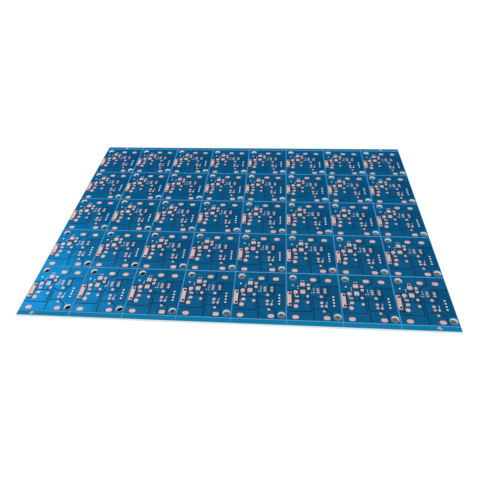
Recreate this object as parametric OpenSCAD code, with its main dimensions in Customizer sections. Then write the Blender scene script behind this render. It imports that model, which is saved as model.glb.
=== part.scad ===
// Bare circuit-board panel: rows of equal preamplifier boards, scored for snapping apart,
// between two break-off rails. One glass-epoxy sheet carries etched copper foil, and a film of
// solder mask leaves the solder pads open. Millimetres, underside at z = 0, panel centred on X and Y.

/* [Panel] */
// Boards side by side
boards_x = 8; // [2:1:10]
// Boards from front to back
boards_y = 5; // [2:1:8]
// Width of one board, from score line to score line
board_w = 36.5; // [34:0.5:60]
// Depth of one board, from score line to score line
board_d = 41.5; // [38:0.5:60]
// Depth of the break-off rail along the front and along the back
rail_d = 4; // [3:0.5:12]
// Thickness of the glass-epoxy laminate
laminate_t = 1.54; // [0.8:0.02:3]

/* [Score lines] */
// Web left between the top groove and the bottom groove
score_web = 0.54; // [0.3:0.02:0.7]
// Included angle of the scoring blade
score_angle = 30; // [20:5:60]

/* [Drilled holes] */
// Diameter of the two screw holes in each board
screw_hole_d = 4.5; // [2.2:0.1:5]
// Diameter of the tooling holes in the rails
tooling_hole_d = 2.2; // [1.5:0.1:2.5]
// Front left tooling hole, from the panel's left end
tooling_front_left = 10.5; // [6:0.5:20]
// Front right tooling hole, from the panel's right end
tooling_front_right = 13.5; // [6:0.5:20]
// Back left tooling hole, from the panel's left end
tooling_back_left = 19.5; // [6:0.5:30]
// Back right tooling hole, from the panel's right end
tooling_back_right = 17; // [6:0.5:30]
// Diameter of the lead holes through the contact bar
lead_hole_d = 1.3; // [0.8:0.1:1.6]
// Distance between the two lead holes of a contact bar
lead_hole_pitch = 9; // [6:0.5:11]
// Distance of the lead holes to the right of the contact bar's middle
lead_hole_offset = 0.4; // [0:0.1:0.6]

/* [Copper] */
// Thickness of the copper foil
copper_t = 0.035; // [0.018:0.001:0.105]
// Width of the etched gaps between neighbouring copper areas
etch_gap = 0.7; // [0.3:0.05:1]
// Bare border between the copper and the score lines
edge_border = 0.6; // [0.4:0.05:1.2]
// Bare ring between the copper and a screw hole
hole_border = 0.8; // [0.3:0.05:1.2]

/* [Solder mask] */
// Thickness of the film over the copper
mask_t = 0.025; // [0.01:0.005:0.05]
// Width of the pad edge that the film covers
mask_lap = 0.1; // [0.05:0.01:0.15]
// Bare ring between the film and a drilled hole
mask_relief = 0.12; // [0.05:0.01:0.25]

/* [Pads] */
// Lead pitch of the header; every pad sits on a grid of an eighth of it
lead_pitch = 2.54; // [2.4:0.01:2.6]
// Length of the oval wire pads
wire_pad_l = 4.3; // [3.6:0.05:5]
// Width of the oval wire pads
wire_pad_w = 3; // [2:0.05:3.5]
// Length of the contact bar
bar_l = 12.1; // [11:0.1:15]
// Width of the contact bar
bar_w = 2.8; // [2.4:0.05:3.2]
// Distance from the board's left edge to the contact bar
bar_inset = 0.6; // [0.35:0.05:0.8]
// Diameter of the capacitor pads beside the contact bar
capacitor_pad_d = 3.1; // [2.5:0.1:3.6]
// Diameter of the resistor pads
resistor_pad_d = 2.1; // [1.6:0.05:2.6]
// Diameter of the link pads
link_pad_d = 1.8; // [1.4:0.05:2.2]
// Diameter of the test pad
test_pad_d = 1.15; // [0.8:0.05:1.6]
// Diameter of the header pads
header_pad_d = 1.25; // [0.9:0.05:1.8]
// Diameter of the dot pads
dot_pad_d = 0.75; // [0.6:0.05:1.1]
// Side of the square chip pads
square_pad = 3.3; // [2.5:0.05:3.6]
// Width of the small chip pads
small_pad_w = 2.05; // [1.5:0.05:2.4]
// Depth of the small chip pads
small_pad_d = 2.05; // [1.2:0.05:2.2]
// Width of the filter pads between the capacitor pads
filter_pad_w = 2.4; // [1.6:0.05:2.7]
// Depth of the back filter pad
filter_back_d = 1.25; // [0.8:0.05:1.8]
// Depth of the front filter pad
filter_front_d = 2.1; // [1:0.05:2.4]
// Width of the transistor pads
transistor_pad_w = 1.8; // [1.2:0.05:2.2]
// Depth of the transistor pads
transistor_pad_d = 1; // [0.6:0.05:1.3]
// Width of the bare necks that lead off a pad
neck_w = 0.4; // [0.3:0.05:0.7]

/* [Hidden] */
$fn = 48;

// Overrun of the cutting shapes past the faces that they cut
overrun = 0.2;

panel_w = boards_x * board_w;
panel_d = boards_y * board_d + 2 * rail_d;
film_t = copper_t + mask_t;
score_depth = (laminate_t - score_web) / 2;
score_slope = tan(score_angle / 2);
score_w = 2 * score_depth * score_slope;

// A spot on a board is a number of grid steps from a named edge or middle, across and then back.
grid = lead_pitch / 8;
LEFT = 0;
FRONT = 0;
MID = 0.5;
RIGHT = 1;
BACK = 1;
function spot(s) = [s[0] * board_w + s[1] * grid, s[2] * board_d + s[3] * grid];

// Leftward unit normal of a path's run from point k to the next, and the mitre vector at point k.
function run_normal(points, k) =
    let (run = points[k + 1] - points[k])
    [-run[1], run[0]] / norm(run);
function mitre(points, k) =
    let (last = len(points) - 1)
    let (before = run_normal(points, max(k - 1, 0)))
    let (after = run_normal(points, min(k, last - 1)))
    (before + after) / (1 + before * after);

// Two screw holes stand in opposite corners of each board.
screw_holes = [[LEFT, 15, BACK, -13], [RIGHT, -10, FRONT, 13]];

// Solder pads, kind by kind.
contact_bar = [LEFT, 0, MID, -8];
wire_pads = [[MID, 2, BACK, -18], [RIGHT, -23, BACK, -19], [LEFT, 19, FRONT, 9], [RIGHT, -32, FRONT, 9]];
capacitor_pads = [[LEFT, 20, MID, 11], [LEFT, 20, MID, -28]];
resistor_pads = [[MID, -12, MID, 0], [MID, -12, MID, -17], [MID, 17, MID, 0], [MID, 17, MID, -17]];
link_pads = [[MID, 17, MID, -26], [MID, 21, FRONT, 26], [MID, 26, MID, -26]];
test_pads = [[LEFT, 14, MID, 30]];
header_pads = [for (k = [0 : 3]) [RIGHT, -15, MID, -8 * k]];
square_pads = [[MID, -22, MID, 33], [MID, -22, MID, 12]];
small_pads = [[MID, -9, MID, 32], [MID, -9, MID, 22]];
filter_pads = [[[LEFT, 23, MID, -2], filter_back_d], [[LEFT, 23, MID, -14], filter_front_d]];
transistor_pads = [for (x = [11, 26], k = [-1 : 1]) [MID, x, MID, 16 + 5 * k]];
dot_pads = [
    [MID, -19, MID, 44], [MID, -24, MID, 44], [MID, -32, MID, 27], [MID, -32, MID, 21], [MID, -3, MID, 10],
    [MID, 28, MID, -15], for (k = [0 : 2]) [MID, 2, MID, 10 + 6 * k]
];
necks = [
    [[LEFT, 18, MID, 8], [LEFT, 20, MID, -2]],
    [[LEFT, 20, MID, -14], [LEFT, 18, MID, -19]],
    [[MID, 26, MID, -26], [MID, 28, MID, -15]]
];

// Etched gaps between the copper areas, each a route from spot to spot.
etched_routes = [
    [[LEFT, 0, FRONT, 24], [MID, -6, FRONT, 24], [MID, -6, MID, 14], [MID, -4, MID, 17],
        [MID, -3, MID, 28], [MID, 7, MID, 38], [MID, 15, MID, 40], [MID, 15, BACK, 0]],
    [[MID, -1, FRONT, 0], [MID, -1, MID, -1], [MID, 8, MID, -8], [MID, 24, MID, -8],
        [MID, 32, MID, 5], [MID, 32, MID, 30]],
    [[MID, -1, FRONT, 31], [MID, 20, FRONT, 33], [RIGHT, -22, FRONT, 22], [RIGHT, -22, FRONT, 0]],
    [[LEFT, 0, MID, 16], [LEFT, 13, MID, 16], [LEFT, 20, MID, 20], [MID, -29, MID, 15]],
    [[LEFT, 13, MID, 16], [LEFT, 13, MID, -33], [LEFT, 0, MID, -33]],
    [[LEFT, 13, MID, -8], [MID, -18, MID, -7]],
    [[MID, -29, MID, -7], [MID, -29, MID, 23], [MID, -18, MID, 23], [MID, -14, MID, 18],
        [MID, -14, MID, 6], [MID, -17, MID, 2], [MID, -18, MID, -7], [MID, -6, MID, -8]],
    [[MID, -14, MID, 14], [MID, -6, MID, 14]],
    [[MID, -14, MID, 18], [MID, -14, MID, 27], [MID, -3, MID, 28]],
    [[RIGHT, 0, MID, 30], [MID, 18, MID, 30], [MID, 18, MID, 7], [MID, 30, MID, 2]]
];

// Repeats its children on every board, from the board's front left corner.
module each_board() {
    for (i = [0 : boards_x - 1], j = [0 : boards_y - 1])
        translate([i * board_w - panel_w / 2, rail_d + j * board_d - panel_d / 2])
            children();
}

// Repeats its children at each spot in a list.
module at(spots) {
    for (s = spots)
        translate(spot(s))
            children();
}

// Repeats its children on the four tooling holes.
module each_tooling_hole() {
    rail_y = (panel_d - rail_d) / 2;
    for (p = [
        [tooling_front_left - panel_w / 2, -rail_y],
        [panel_w / 2 - tooling_front_right, -rail_y],
        [tooling_back_left - panel_w / 2, rail_y],
        [panel_w / 2 - tooling_back_right, rail_y]
    ])
        translate(p)
            children();
}

// Places its children on the middle of a board's contact bar.
module on_contact_bar() {
    translate(spot(contact_bar) + [bar_inset + bar_w / 2, 0])
        children();
}

// Repeats its children on the two lead holes of a contact bar.
module each_lead_hole() {
    on_contact_bar()
        for (side = [-1, 1])
            translate([lead_hole_offset, side * lead_hole_pitch / 2])
                children();
}

// A line of one width through a list of spots, mitred at its corners and square at its ends.
module route(spots, width) {
    points = [for (s = spots) spot(s)];
    last = len(points) - 1;
    sides = [for (k = [0 : last]) width / 2 * mitre(points, k)];
    polygon([
        for (k = [0 : last]) points[k] + sides[k],
        for (k = [last : -1 : 0]) points[k] - sides[k]
    ]);
}

module oval(length, width) {
    straight = length - width;
    square([straight, width], center = true);
    for (side = [-1, 1])
        translate([side * straight / 2, 0])
            circle(d = width);
}

// A board's contact bar, grown by a margin on every side.
module bar_pad(margin) {
    on_contact_bar()
        square([bar_w + 2 * margin, bar_l + 2 * margin], center = true);
}

// All solder pads of one board, each grown by a margin on every side.
module pads(margin) {
    grow = 2 * margin;
    bar_pad(margin);
    at(wire_pads)
        oval(wire_pad_l + grow, wire_pad_w + grow);
    at(capacitor_pads)
        circle(d = capacitor_pad_d + grow);
    at(resistor_pads)
        circle(d = resistor_pad_d + grow);
    at(link_pads)
        circle(d = link_pad_d + grow);
    at(test_pads)
        circle(d = test_pad_d + grow);
    at(header_pads)
        circle(d = header_pad_d + grow);
    at(dot_pads)
        circle(d = dot_pad_d + grow);
    at(square_pads)
        square(square_pad + grow, center = true);
    at(small_pads)
        square([small_pad_w + grow, small_pad_d + grow], center = true);
    for (pad = filter_pads)
        translate(spot(pad[0]))
            square([filter_pad_w + grow, pad[1] + grow], center = true);
    at(transistor_pads)
        square([transistor_pad_w + grow, transistor_pad_d + grow], center = true);
    for (spots = necks)
        route(spots, neck_w + grow);
}

// A board's area, set in from its score lines and clear of a ring round each screw hole.
module board_area(inset, ring) {
    difference() {
        translate([inset, inset])
            square([board_w - 2 * inset, board_d - 2 * inset]);
        at(screw_holes)
            circle(d = screw_hole_d + 2 * ring);
    }
}

module copper_outline() {
    board_area(edge_border, hole_border);
    bar_pad(mask_lap);
}

module mask_outline() {
    board_area(score_w / 2, mask_relief);
}

// Copper of one board: its full area split by the etched gaps, with every pad left whole.
module board_copper() {
    linear_extrude(copper_t)
        difference() {
            union() {
                difference() {
                    copper_outline();
                    for (spots = etched_routes)
                        route(spots, etch_gap);
                }
                pads(mask_lap);
            }
            each_lead_hole()
                circle(d = lead_hole_d);
        }
}

// Film of one board: it lies on the copper with its pads left open, and comes down to the
// laminate along the score lines and round the screw holes.
module board_mask() {
    difference() {
        linear_extrude(film_t)
            difference() {
                mask_outline();
                pads(0);
            }
        translate([0, 0, -overrun])
            linear_extrude(overrun + copper_t)
                copper_outline();
    }
}

// V grooves of the top face, along both directions and right through the rails.
module score_grooves() {
    rise = overrun * score_slope + score_w / 2;
    blade = [[0, -score_depth], [rise, overrun], [-rise, overrun]];
    for (i = [1 : boards_x - 1])
        translate([i * board_w - panel_w / 2, panel_d / 2 + overrun, laminate_t])
            rotate([90, 0, 0])
                linear_extrude(panel_d + 2 * overrun)
                    polygon(blade);
    for (j = [0 : boards_y])
        translate([-panel_w / 2 - overrun, rail_d + j * board_d - panel_d / 2, laminate_t])
            rotate([90, 0, 90])
                linear_extrude(panel_w + 2 * overrun)
                    polygon(blade);
}

module drill(diameter) {
    translate([0, 0, -overrun])
        cylinder(d = diameter, h = laminate_t + 2 * overrun);
}

// The one glass-epoxy sheet, scored on both faces and drilled.
module laminate() {
    color("#cfc99c")
        difference() {
            translate([-panel_w / 2, -panel_d / 2, 0])
                cube([panel_w, panel_d, laminate_t]);
            score_grooves();
            translate([0, 0, laminate_t])
                mirror([0, 0, 1])
                    score_grooves();
            each_board() {
                at(screw_holes)
                    drill(screw_hole_d);
                each_lead_hole()
                    drill(lead_hole_d);
            }
            each_tooling_hole()
                drill(tooling_hole_d);
        }
}

// Etched copper foil on the top face, as separate areas.
module copper_foil() {
    color("#e0a08c")
        translate([0, 0, laminate_t])
            each_board()
                board_copper();
}

// Film of the rails: one strip per stretch between score lines.
module rail_mask() {
    difference() {
        for (i = [0 : boards_x - 1], y = [-panel_d / 2, panel_d / 2 - rail_d])
            translate([i * board_w - panel_w / 2 + score_w / 2, y + score_w / 2, 0])
                cube([board_w - score_w, rail_d - score_w, film_t]);
        each_tooling_hole()
            drill(tooling_hole_d + 2 * mask_relief);
    }
}

// Solder mask on the top face, cut through by the score lines.
module solder_mask() {
    color("#0c5c98")
        translate([0, 0, laminate_t]) {
            each_board()
                board_mask();
            rail_mask();
        }
}

laminate();
copper_foil();
solder_mask();
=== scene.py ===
# Looks of a bare circuit-board panel: pale glass-epoxy laminate, etched copper pads and a blue film of
# solder mask. The laminate and the copper are the CAD solids. The film is made anew from the CAD film: a
# front and a back piece that lie on copper, one that lies in the etched gaps, and the strips on the rails.
import math

import bmesh
import bpy
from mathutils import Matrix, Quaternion, Vector


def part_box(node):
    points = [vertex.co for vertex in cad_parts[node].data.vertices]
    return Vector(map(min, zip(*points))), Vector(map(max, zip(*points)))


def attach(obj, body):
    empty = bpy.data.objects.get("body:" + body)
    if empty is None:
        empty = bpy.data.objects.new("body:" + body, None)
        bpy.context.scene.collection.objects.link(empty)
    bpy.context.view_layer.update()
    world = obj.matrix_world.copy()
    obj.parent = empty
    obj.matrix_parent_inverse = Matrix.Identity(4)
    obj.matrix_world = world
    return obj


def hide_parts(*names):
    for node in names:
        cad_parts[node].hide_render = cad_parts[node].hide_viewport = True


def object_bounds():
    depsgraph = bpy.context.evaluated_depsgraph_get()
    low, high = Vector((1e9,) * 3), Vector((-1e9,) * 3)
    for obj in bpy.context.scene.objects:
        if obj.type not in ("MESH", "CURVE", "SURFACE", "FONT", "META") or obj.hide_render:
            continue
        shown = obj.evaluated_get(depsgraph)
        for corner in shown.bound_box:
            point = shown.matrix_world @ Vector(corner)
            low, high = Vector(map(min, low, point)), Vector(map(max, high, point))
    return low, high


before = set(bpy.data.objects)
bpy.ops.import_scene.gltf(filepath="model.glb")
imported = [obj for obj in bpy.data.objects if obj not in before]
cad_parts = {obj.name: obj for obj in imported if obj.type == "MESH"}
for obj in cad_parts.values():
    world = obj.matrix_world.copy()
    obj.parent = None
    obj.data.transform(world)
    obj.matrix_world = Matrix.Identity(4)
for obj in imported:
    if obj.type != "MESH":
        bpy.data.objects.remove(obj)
cad_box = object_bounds()

MM = 0.001
BODY = "root"

# The boards lie in columns and rows between a front and a back rail.
COLUMNS, ROWS = 8, 5
RAIL_DEPTH = 4.0 * MM
PANEL = cad_box[1] - cad_box[0]
BOARDS_CORNER = Vector((cad_box[0].x, cad_box[0].y + RAIL_DEPTH, 0))
BOARD_SIZE = Vector((PANEL.x / COLUMNS, (PANEL.y - 2 * RAIL_DEPTH) / ROWS, 0))
BOARD_MIDDLE = BOARD_SIZE / 2
# Rows of boards whose film on copper is the front one of the two pieces.
FRONT_ROWS = 2


def on_board(x, y):
    """A spot or a half size on a board, given in millimetres."""
    return Vector((x, y, 0)) * MM


# Holes of a board, measured from its front left corner, and half of a square round each: one that takes in
# a lead hole, and one that takes in a screw hole with its ring without copper.
LEAD_HOLES = on_board(2.4, 13.71), on_board(2.4, 22.71)
LEAD_HOLE_HALF = on_board(0.75, 0.75)
SCREW_HOLES = on_board(4.76, 37.37), on_board(33.33, 4.13)
SCREW_HOLE_HALF = on_board(3.1, 3.1)
# Rectangles on a board, each with its middle and its half size: the copper area round the header, all but
# the border without copper, and the smallest pads.
HEADER_AREA = on_board(30.6, 19.3), on_board(4.6, 10.5)
COPPER_AREA = BOARD_MIDDLE, BOARD_MIDDLE - on_board(0.6, 0.6)
HEADER_PADS = on_board(31.74, 16.94), on_board(0.9, 4.7)
BACK_DOTS = on_board(11.43, 34.72), on_board(1.4, 0.6)
LEFT_DOTS = on_board(8.09, 28.37), on_board(0.6, 1.6)
MIDDLE_DOTS = on_board(18.1, 25.83), on_board(1.4, 2.5)
TEST_PAD = on_board(4.45, 30.28), on_board(0.8, 0.8)
SMALL_PADS = HEADER_PADS, BACK_DOTS, LEFT_DOTS, MIDDLE_DOTS, TEST_PAD

# How far the film sinks into the etched gaps.
GAP_FILM_SINK = 0.018 * MM
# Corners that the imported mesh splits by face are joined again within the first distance, and those that
# the sinking brings together within the second.
WELD = 0.001 * MM
FINE_WELD = WELD / 10
# Faces of the film are joined where they lie flatter than this to each other.
FLAT_ANGLE = math.radians(2)
# The copper copy that cuts the film reaches this far above and below the foil.
CUTTER_REACH = 0.5 * MM

# The photograph's frame and the camera that took it, standing before the front rail.
PICTURE_PX = 480
FOCAL_PX = 434
CAMERA_AT = Vector((28.2, -275.9, 232.9)) * MM
CAMERA_LOOKS_AT = Vector((0.5, -28.6, 1.6)) * MM
CAMERA_ROLL = math.radians(-2.97)

# The white room's strength for light that is neither seen nor mirrored.
ROOM_LIGHT = 0.85
# The floor is a plain white sheet under the panel.
FLOOR_SIDE = 6.0
FLOOR_DROP = 0.04 * MM
FLOOR_GLOW = 0.12
# A card lies between the floor and the panel, inside its outline. To the camera it is brown, darkened by
# painted shade that the holes show. Along X it is dark up to the first place and light from the second on.
CARD_DROP = 0.02 * MM
CARD_INSET = 1.0 * MM
CARD_DARK_TO, CARD_LIGHT_FROM = -60 * MM, 0.0

# Sockets of the colour Mix node, which shares its socket names between types.
MIX_FACTOR = 0
MIX_A = 6
MIX_B = 7
MIX_RESULT = 2
# A Wave texture of scale 1 turns by this many radians a metre.
WAVE_TURN = 20


def srgb(hex_colour):
    """An sRGB hex colour as linear red, green, blue and full alpha."""
    parts = [int(hex_colour[k:k + 2], 16) / 255 for k in (1, 3, 5)]
    return [c / 12.92 if c <= 0.04045 else ((c + 0.055) / 1.055) ** 2.4 for c in parts] + [1.0]


def wave_scale(spacing):
    """The scale of a Wave texture whose bands lie this far apart."""
    return math.tau / (WAVE_TURN * spacing)


def add(tree, kind, inputs=None, **settings):
    """Adds a shader node with its settings; each input is a plain value or the socket that feeds it."""
    made = tree.nodes.new("ShaderNode" + kind)
    for name, value in settings.items():
        setattr(made, name, value)
    for socket, value in (inputs or {}).items():
        if isinstance(value, bpy.types.NodeSocket):
            tree.links.new(value, made.inputs[socket])
        else:
            made.inputs[socket].default_value = value
    return made


def new_material(name):
    """An empty node material, with its tree and the object coordinates in metres."""
    material = bpy.data.materials.new(name)
    material.use_nodes = True
    material.node_tree.nodes.clear()
    place = add(material.node_tree, "TexCoord").outputs["Object"]
    return material, material.node_tree, place


def finish_with(piece, material):
    """Gives a piece one material."""
    piece.data.materials.clear()
    piece.data.materials.append(material)


# The camera
camera = bpy.data.objects.new("camera", bpy.data.cameras.new("camera"))
camera.data.lens = camera.data.sensor_width * FOCAL_PX / PICTURE_PX
camera.location = CAMERA_AT
camera.rotation_mode = "QUATERNION"
level = (CAMERA_LOOKS_AT - CAMERA_AT).to_track_quat("-Z", "Y")
camera.rotation_quaternion = level @ Quaternion((0, 0, 1), CAMERA_ROLL)
bpy.context.scene.collection.objects.link(camera)
bpy.context.scene.camera = camera


def welded_copy(node, name):
    """A closed copy of a CAD node's mesh, as a new object."""
    mesh = bpy.data.meshes.new(name)
    work = bmesh.new()
    work.from_mesh(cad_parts[node].data)
    bmesh.ops.remove_doubles(work, verts=work.verts, dist=WELD)
    work.to_mesh(mesh)
    work.free()
    piece = bpy.data.objects.new(name, mesh)
    bpy.context.scene.collection.objects.link(piece)
    return piece


def cut_film(name, operation, cutter):
    """A copy of the CAD film, cut or kept by the copper's outline."""
    piece = welded_copy("solder_mask", name)
    cut = piece.modifiers.new("outline", "BOOLEAN")
    cut.operation = operation
    cut.solver = "MANIFOLD"
    cut.object = cutter
    fewer = piece.modifiers.new("fewer_faces", "DECIMATE")
    fewer.decimate_type = "DISSOLVE"
    fewer.angle_limit = FLAT_ANGLE
    depsgraph = bpy.context.evaluated_depsgraph_get()
    mesh = bpy.data.meshes.new_from_object(piece.evaluated_get(depsgraph))
    piece.modifiers.clear()
    piece.data = mesh
    return piece


def part_of(film, name, wanted):
    """A new piece with those faces of a film whose middle is wanted."""
    piece = film.copy()
    piece.data = film.data.copy()
    piece.name = name
    bpy.context.scene.collection.objects.link(piece)
    work = bmesh.new()
    work.from_mesh(piece.data)
    unwanted = [f for f in work.faces if not wanted(f.calc_center_median())]
    bmesh.ops.delete(work, geom=unwanted, context="FACES")
    work.to_mesh(piece.data)
    work.free()
    return piece


def sink(piece, low, high):
    """Sets every point of a film to its bottom or its top level, and clears what that flattens."""
    work = bmesh.new()
    work.from_mesh(piece.data)
    old_top = max(v.co.z for v in work.verts)
    for v in work.verts:
        v.co.z = high if old_top - v.co.z < WELD else low
    bmesh.ops.remove_doubles(work, verts=work.verts, dist=FINE_WELD)
    bmesh.ops.dissolve_degenerate(work, edges=work.edges, dist=FINE_WELD)
    work.to_mesh(piece.data)
    work.free()


# The film
foil_bottom, foil_top = (corner.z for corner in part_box("copper_foil"))
film_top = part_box("solder_mask")[1].z
rail_edge = cad_box[1].y - RAIL_DEPTH
front_rows_end = BOARDS_CORNER.y + FRONT_ROWS * BOARD_SIZE.y

copper_cutter = welded_copy("copper_foil", "copper_cutter")
foil_middle = (foil_bottom + foil_top) / 2
for point in copper_cutter.data.vertices:
    point.co.z += CUTTER_REACH if point.co.z > foil_middle else -CUTTER_REACH

on_copper = cut_film("on_copper", "INTERSECT", copper_cutter)
off_copper = cut_film("off_copper", "DIFFERENCE", copper_cutter)

film_on_front_copper = part_of(
    on_copper, "film_on_front_copper", lambda middle: middle.y < front_rows_end)
film_on_back_copper = part_of(
    on_copper, "film_on_back_copper", lambda middle: middle.y > front_rows_end)
film_in_gaps = part_of(off_copper, "film_in_gaps", lambda middle: abs(middle.y) < rail_edge)
film_on_rails = part_of(off_copper, "film_on_rails", lambda middle: abs(middle.y) > rail_edge)
sink(film_in_gaps, foil_bottom, film_top - GAP_FILM_SINK)

for used in (copper_cutter, on_copper, off_copper):
    bpy.data.objects.remove(used)
for film in (film_on_front_copper, film_on_back_copper, film_in_gaps, film_on_rails):
    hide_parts("solder_mask")
    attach(film, BODY)


def from_spot(tree, place, spot):
    """The way to a place from a spot on the same board."""
    on_panel = add(tree, "VectorMath", {0: place, 1: BOARDS_CORNER}, operation="SUBTRACT")
    on_one = add(tree, "VectorMath", {0: on_panel.outputs[0], 1: BOARD_SIZE}, operation="MODULO")
    return add(tree, "VectorMath", {0: on_one.outputs[0], 1: spot}, operation="SUBTRACT").outputs[0]


def outside(tree, place, rectangle):
    """How far a place lies outside a rectangle on its board, below zero inside it."""
    middle, half_size = rectangle
    away = add(tree, "VectorMath", {0: from_spot(tree, place, middle)}, operation="ABSOLUTE")
    beyond = add(tree, "VectorMath", {0: away.outputs[0], 1: half_size}, operation="SUBTRACT")
    sides = add(tree, "SeparateXYZ", {0: beyond.outputs[0]})
    farthest = add(tree, "Math", {0: sides.outputs["X"], 1: sides.outputs["Y"]}, operation="MAXIMUM")
    return farthest.outputs[0]


def inside_any(tree, place, rectangles):
    """One inside any of these rectangles on a board, and zero elsewhere."""
    nearest = outside(tree, place, rectangles[0])
    for rectangle in rectangles[1:]:
        other = outside(tree, place, rectangle)
        nearest = add(tree, "Math", {0: nearest, 1: other}, operation="MINIMUM").outputs[0]
    return add(tree, "Math", {0: nearest, 1: 0.0}, operation="LESS_THAN").outputs[0]


def glass_epoxy_laminate():
    """Woven glass cloth pressed in epoxy resin: cream and half clear, with the cloth's threads showing
    faintly on the flat faces, and pale powdery glass where a drill or router cut it. The scored walls
    carry a painted blue reflection of the film beside them, and the narrow lead holes carry painted
    shade, near black."""
    thread = 0.6 * MM
    thread_height = 0.02 * MM
    ply = 0.2 * MM
    resin_patch = 9 * MM
    deep_resin, pale_resin, glass_thread = srgb("#c9be8b"), srgb("#ded6ad"), srgb("#ebe5c6")
    cut_resin, cut_glass = srgb("#bcd0da"), srgb("#d8e8f0")
    # The last two colours are painted light: a painted blue reflection of the film for the scored walls,
    # and painted shade, near black, for the lead holes.
    painted_film_reflection, painted_hole_shade = srgb("#aee2fb"), srgb("#0c0806")
    # The upright share of a face's normal: a flat face has more than the first, a cut one less than the
    # second. A drilled wall has less than the third, a scored one more than the fourth.
    flat_from, cut_to, drilled_to, scored_from = 0.98, 0.9, 0.1, 0.2
    material, tree, place = new_material("glass_epoxy_laminate_pressed")

    cloth_waves = {"Vector": place, "Scale": wave_scale(thread), "Distortion": 0.6, "Detail": 1.0}
    warp = add(tree, "TexWave", cloth_waves, bands_direction="X")
    weft = add(tree, "TexWave", cloth_waves, bands_direction="Y")
    cloth = add(tree, "Math", {0: warp.outputs["Fac"], 1: weft.outputs["Fac"]}, operation="MULTIPLY")
    patches = add(tree, "TexNoise", {"Vector": place, "Scale": 1 / resin_patch, "Detail": 3.0})
    plies = add(tree, "TexWave", {"Vector": place, "Scale": wave_scale(ply), "Distortion": 1.5},
                bands_direction="Z")
    resin = add(tree, "Mix", {MIX_FACTOR: patches.outputs["Fac"], MIX_A: deep_resin, MIX_B: pale_resin},
                data_type="RGBA")
    flat = add(tree, "Mix", {MIX_FACTOR: cloth.outputs[0], MIX_A: resin.outputs[MIX_RESULT],
                             MIX_B: glass_thread}, data_type="RGBA")
    cut = add(tree, "Mix", {MIX_FACTOR: plies.outputs["Fac"], MIX_A: cut_resin, MIX_B: cut_glass},
              data_type="RGBA")

    facing = add(tree, "SeparateXYZ", {0: add(tree, "NewGeometry").outputs["Normal"]})
    upright = add(tree, "Math", {0: facing.outputs["Z"]}, operation="ABSOLUTE").outputs[0]
    is_cut = add(tree, "MapRange", {"Value": upright, "From Min": flat_from, "From Max": cut_to})
    is_scored = add(tree, "MapRange", {"Value": upright, "From Min": drilled_to, "From Max": scored_from})
    is_lead_hole = inside_any(tree, place, [(hole, LEAD_HOLE_HALF) for hole in LEAD_HOLES])
    # Painted blue reflection of the film on the scored walls.
    walls = add(tree, "Mix", {MIX_FACTOR: is_scored.outputs[0], MIX_A: cut.outputs[MIX_RESULT],
                              MIX_B: painted_film_reflection}, data_type="RGBA")
    # Painted shade, near black, on the walls of the lead holes.
    hole_shaded = add(tree, "Mix", {MIX_FACTOR: is_lead_hole, MIX_A: walls.outputs[MIX_RESULT],
                                MIX_B: painted_hole_shade}, data_type="RGBA")
    colour = add(tree, "Mix", {MIX_FACTOR: is_cut.outputs[0], MIX_A: flat.outputs[MIX_RESULT],
                               MIX_B: hole_shaded.outputs[MIX_RESULT]}, data_type="RGBA")

    rough = add(tree, "MapRange", {"Value": is_cut.outputs[0], "To Min": 0.45, "To Max": 0.85})
    threads = add(tree, "Bump", {"Height": cloth.outputs[0], "Strength": 0.25, "Distance": thread_height})
    shader = add(tree, "BsdfPrincipled", {"Base Color": colour.outputs[MIX_RESULT], "IOR": 1.55,
                                          "Roughness": rough.outputs[0], "Normal": threads.outputs[0]})
    add(tree, "OutputMaterial", {"Surface": shader.outputs[0]})
    return material


def bare_copper():
    """Copper foil, etched to its outline, then dipped against tarnish: dull salmon pink with a fine
    etched grain and slightly darker, warmer patches. The smallest pads are paler, as if the dip had
    gathered on them, and round each lead hole the copper carries a soft rim of painted shade."""
    # Real etched grain is about ten times finer. It is drawn this coarse to show.
    grain = 0.25 * MM
    grain_height = 0.01 * MM
    patch = 4 * MM
    rim_dark_to, rim_ends = 0.75 * MM, 1.0 * MM
    warm_pink, pale_pink = srgb("#cba296"), srgb("#dcc1bb")
    dipped_white, painted_rim_shade = srgb("#ecdedc"), srgb("#33231d")
    material, tree, place = new_material("copper_foil_etched")

    patches = add(tree, "TexNoise", {"Vector": place, "Scale": 1 / patch, "Detail": 4.0})
    speckle = add(tree, "TexNoise", {"Vector": place, "Scale": 1 / grain, "Detail": 2.0})
    broad = add(tree, "Mix", {MIX_FACTOR: patches.outputs["Fac"], MIX_A: warm_pink, MIX_B: pale_pink},
                data_type="RGBA")
    colour = add(tree, "Mix", {MIX_FACTOR: inside_any(tree, place, SMALL_PADS),
                               MIX_A: broad.outputs[MIX_RESULT], MIX_B: dipped_white}, data_type="RGBA")
    # Painted shade: a soft dark rim round each lead hole.
    for hole in LEAD_HOLES:
        away = add(tree, "VectorMath", {0: from_spot(tree, place, hole)}, operation="LENGTH")
        rim = add(tree, "MapRange", {"Value": away.outputs["Value"], "From Min": rim_ends,
                                     "From Max": rim_dark_to})
        colour = add(tree, "Mix", {MIX_FACTOR: rim.outputs[0], MIX_A: colour.outputs[MIX_RESULT],
                                   MIX_B: painted_rim_shade}, data_type="RGBA")

    rough = add(tree, "MapRange", {"Value": speckle.outputs["Fac"], "To Min": 0.55, "To Max": 0.75})
    etched = add(tree, "Bump", {"Height": speckle.outputs["Fac"], "Strength": 0.2,
                                "Distance": grain_height})
    shader = add(tree, "BsdfPrincipled", {"Base Color": colour.outputs[MIX_RESULT], "Metallic": 1.0,
                                          "Roughness": rough.outputs[0], "Normal": etched.outputs[0]})
    add(tree, "OutputMaterial", {"Surface": shader.outputs[0]})
    return material


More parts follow.
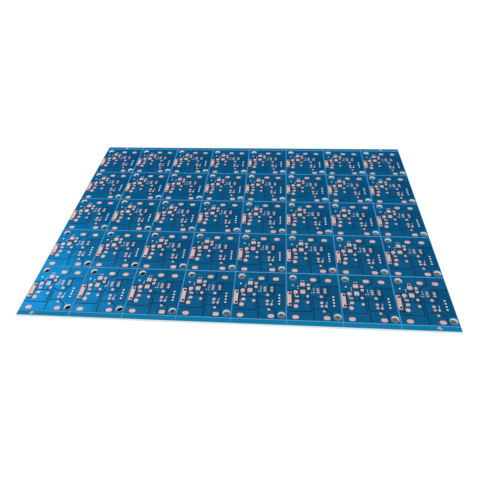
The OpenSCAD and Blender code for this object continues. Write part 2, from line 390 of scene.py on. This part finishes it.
def solder_mask(name, deep, pale, header, border, edge, metallic, roughness, specular):
    """Epoxy solder mask, printed wet and cured: a thin clear-blue ink film with a soft gloss, slightly
    uneven in depth, with the faint orange-peel ripple of an ink that has flowed level. It has a tone of
    its own round the header, and another where there is no copper, along the border and round the screw
    holes."""
    ripple = 0.8 * MM
    ripple_height = 0.01 * MM
    ripple_roughness = 0.06
    depth_patch = 9 * MM
    header_blend = 1.5 * MM
    material, tree, place = new_material(name)

    patches = add(tree, "TexNoise", {"Vector": place, "Scale": 1 / depth_patch, "Detail": 5.0})
    peel = add(tree, "TexNoise", {"Vector": place, "Scale": 1 / ripple, "Detail": 2.0})
    colour = add(tree, "Mix", {MIX_FACTOR: patches.outputs["Fac"], MIX_A: srgb(deep), MIX_B: srgb(pale)},
                 data_type="RGBA")
    near_header = add(tree, "MapRange", {"Value": outside(tree, place, HEADER_AREA),
                                         "From Min": header_blend, "From Max": 0.0})
    toned = add(tree, "Mix", {MIX_FACTOR: near_header.outputs[0], MIX_A: colour.outputs[MIX_RESULT],
                              MIX_B: srgb(header)}, data_type="RGBA")
    by_border = add(tree, "Math", {0: outside(tree, place, COPPER_AREA), 1: 0.0}, operation="GREATER_THAN")
    by_hole = inside_any(tree, place, [(hole, SCREW_HOLE_HALF) for hole in SCREW_HOLES])
    no_copper = add(tree, "Math", {0: by_border.outputs[0], 1: by_hole}, operation="MAXIMUM")
    ink = add(tree, "Mix", {MIX_FACTOR: no_copper.outputs[0], MIX_A: toned.outputs[MIX_RESULT],
                            MIX_B: srgb(border)}, data_type="RGBA")

    rough = add(tree, "MapRange", {"Value": peel.outputs["Fac"], "To Min": roughness - ripple_roughness,
                                   "To Max": roughness + ripple_roughness})
    level_ink = add(tree, "Bump", {"Height": peel.outputs["Fac"], "Strength": 0.1,
                                   "Distance": ripple_height})
    shader = add(tree, "BsdfPrincipled", {"Base Color": ink.outputs[MIX_RESULT], "Metallic": metallic,
                                          "Roughness": rough.outputs[0], "IOR": 1.5,
                                          "Specular IOR Level": specular, "Specular Tint": srgb(edge),
                                          "Normal": level_ink.outputs[0]})
    add(tree, "OutputMaterial", {"Surface": shader.outputs[0]})
    return material


finish_with(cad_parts["laminate"], glass_epoxy_laminate())
finish_with(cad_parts["copper_foil"], bare_copper())
# Over copper the clear ink gives back a blue metallic glow. In the gaps the ink on bare laminate is navy,
# darker than on the rails: partly a thicker coat, partly painted shade of the narrow gaps. On the rails it
# is a thin coat on pale laminate, and looks teal.
ink_on_copper = solder_mask(
    "solder_mask_on_copper", deep="#0c4b73", pale="#146592", header="#0e5079", border="#125f8a",
    edge="#70b4e0", metallic=1.0, roughness=0.32, specular=0.2)
finish_with(film_on_front_copper, ink_on_copper)
finish_with(film_on_back_copper, ink_on_copper)
# Partly painted shade: the navy of the ink in the narrow etched gaps.
finish_with(film_in_gaps, solder_mask(
    "solder_mask_in_gaps_shaded", deep="#04284a", pale="#063055", header="#042848", border="#15669a",
    edge="#80b0d8", metallic=0.0, roughness=0.45, specular=0.1))
finish_with(film_on_rails, solder_mask(
    "solder_mask_on_rails", deep="#07688f", pale="#0b739d", header="#096e97", border="#0b739d",
    edge="#4090d0", metallic=0.0, roughness=0.45, specular=0.05))


def white_to_the_eye(tree, elsewhere):
    """Full white to the camera, to mirrors and through glass, and a given strength elsewhere."""
    path = add(tree, "LightPath").outputs
    seen = add(tree, "Math", {0: path["Is Camera Ray"], 1: path["Is Glossy Ray"]}, operation="MAXIMUM")
    shown = add(tree, "Math", {0: seen.outputs[0], 1: path["Is Transmission Ray"]}, operation="MAXIMUM")
    strength = add(tree, "MapRange", {"Value": shown.outputs[0], "To Min": elsewhere, "To Max": 1.0})
    return strength.outputs[0]


# The studio: a white room, a white floor, a card, a soft window light from the back left and a front light
world = bpy.data.worlds.new("studio")
bpy.context.scene.world = world
world.use_nodes = True
world.node_tree.nodes.clear()
room = add(world.node_tree, "Background", {"Color": srgb("#ffffff"),
                                           "Strength": white_to_the_eye(world.node_tree, ROOM_LIGHT)})
add(world.node_tree, "OutputWorld", {"Surface": room.outputs[0]})


def flat_sheet(name, width, depth, z, shader_of):
    """A flat sheet of the studio, centred under the panel."""
    corners = [(x * width / 2, y * depth / 2, 0) for x, y in ((-1, -1), (1, -1), (1, 1), (-1, 1))]
    mesh = bpy.data.meshes.new(name)
    mesh.from_pydata(corners, [], [range(len(corners))])
    sheet = bpy.data.objects.new(name, mesh)
    sheet.location.z = z
    bpy.context.scene.collection.objects.link(sheet)
    material, tree, place = new_material(name)
    add(tree, "OutputMaterial", {"Surface": shader_of(tree, place)})
    finish_with(sheet, material)


def white_paper(tree, place):
    """Matt white paper with a faint glow, so that it fades into the white room."""
    matt = add(tree, "BsdfDiffuse", {"Color": srgb("#f4f4f4")})
    glow = add(tree, "Emission", {"Strength": FLOOR_GLOW})
    return add(tree, "AddShader", {0: matt.outputs[0], 1: glow.outputs[0]}).outputs[0]


def brown_card(tree, place):
    """Card that looks brown through the holes, darkened by painted shade, and lights their walls as the
    white floor would.
    """
    along = add(tree, "SeparateXYZ", {0: place}).outputs["X"]
    light = add(tree, "MapRange", {"Value": along, "From Min": CARD_DARK_TO, "From Max": CARD_LIGHT_FROM})
    # Brown darkened by painted shade, darker still towards the left.
    brown = add(tree, "Mix", {MIX_FACTOR: light.outputs[0], MIX_A: srgb("#241b15"),
                              MIX_B: srgb("#75614a")}, data_type="RGBA")
    to_the_eye = add(tree, "LightPath").outputs["Is Camera Ray"]
    card = add(tree, "Mix", {MIX_FACTOR: to_the_eye, MIX_A: srgb("#f4f4f4"),
                             MIX_B: brown.outputs[MIX_RESULT]}, data_type="RGBA")
    return add(tree, "BsdfDiffuse", {"Color": card.outputs[MIX_RESULT]}).outputs[0]


flat_sheet("white_paper_floor", FLOOR_SIDE, FLOOR_SIDE, cad_box[0].z - FLOOR_DROP, white_paper)
flat_sheet("brown_card", PANEL.x - 2 * CARD_INSET, PANEL.y - 2 * CARD_INSET, cad_box[0].z - CARD_DROP,
           brown_card)


def soft_light(name, at, side, watts):
    """A square soft box that faces the panel's middle."""
    lamp = bpy.data.lights.new(name, "AREA")
    lamp.size = side
    lamp.energy = watts
    box = bpy.data.objects.new(name, lamp)
    box.location = at
    box.rotation_mode = "QUATERNION"
    box.rotation_quaternion = (-Vector(at)).to_track_quat("-Z", "Y")
    bpy.context.scene.collection.objects.link(box)


soft_light("window_light", at=(-0.88, 0.64, 0.95), side=0.5, watts=3.0)
soft_light("front_light", at=(0.5, -0.9, 1.2), side=0.8, watts=6.0)

bpy.context.scene.view_settings.view_transform = "Standard"
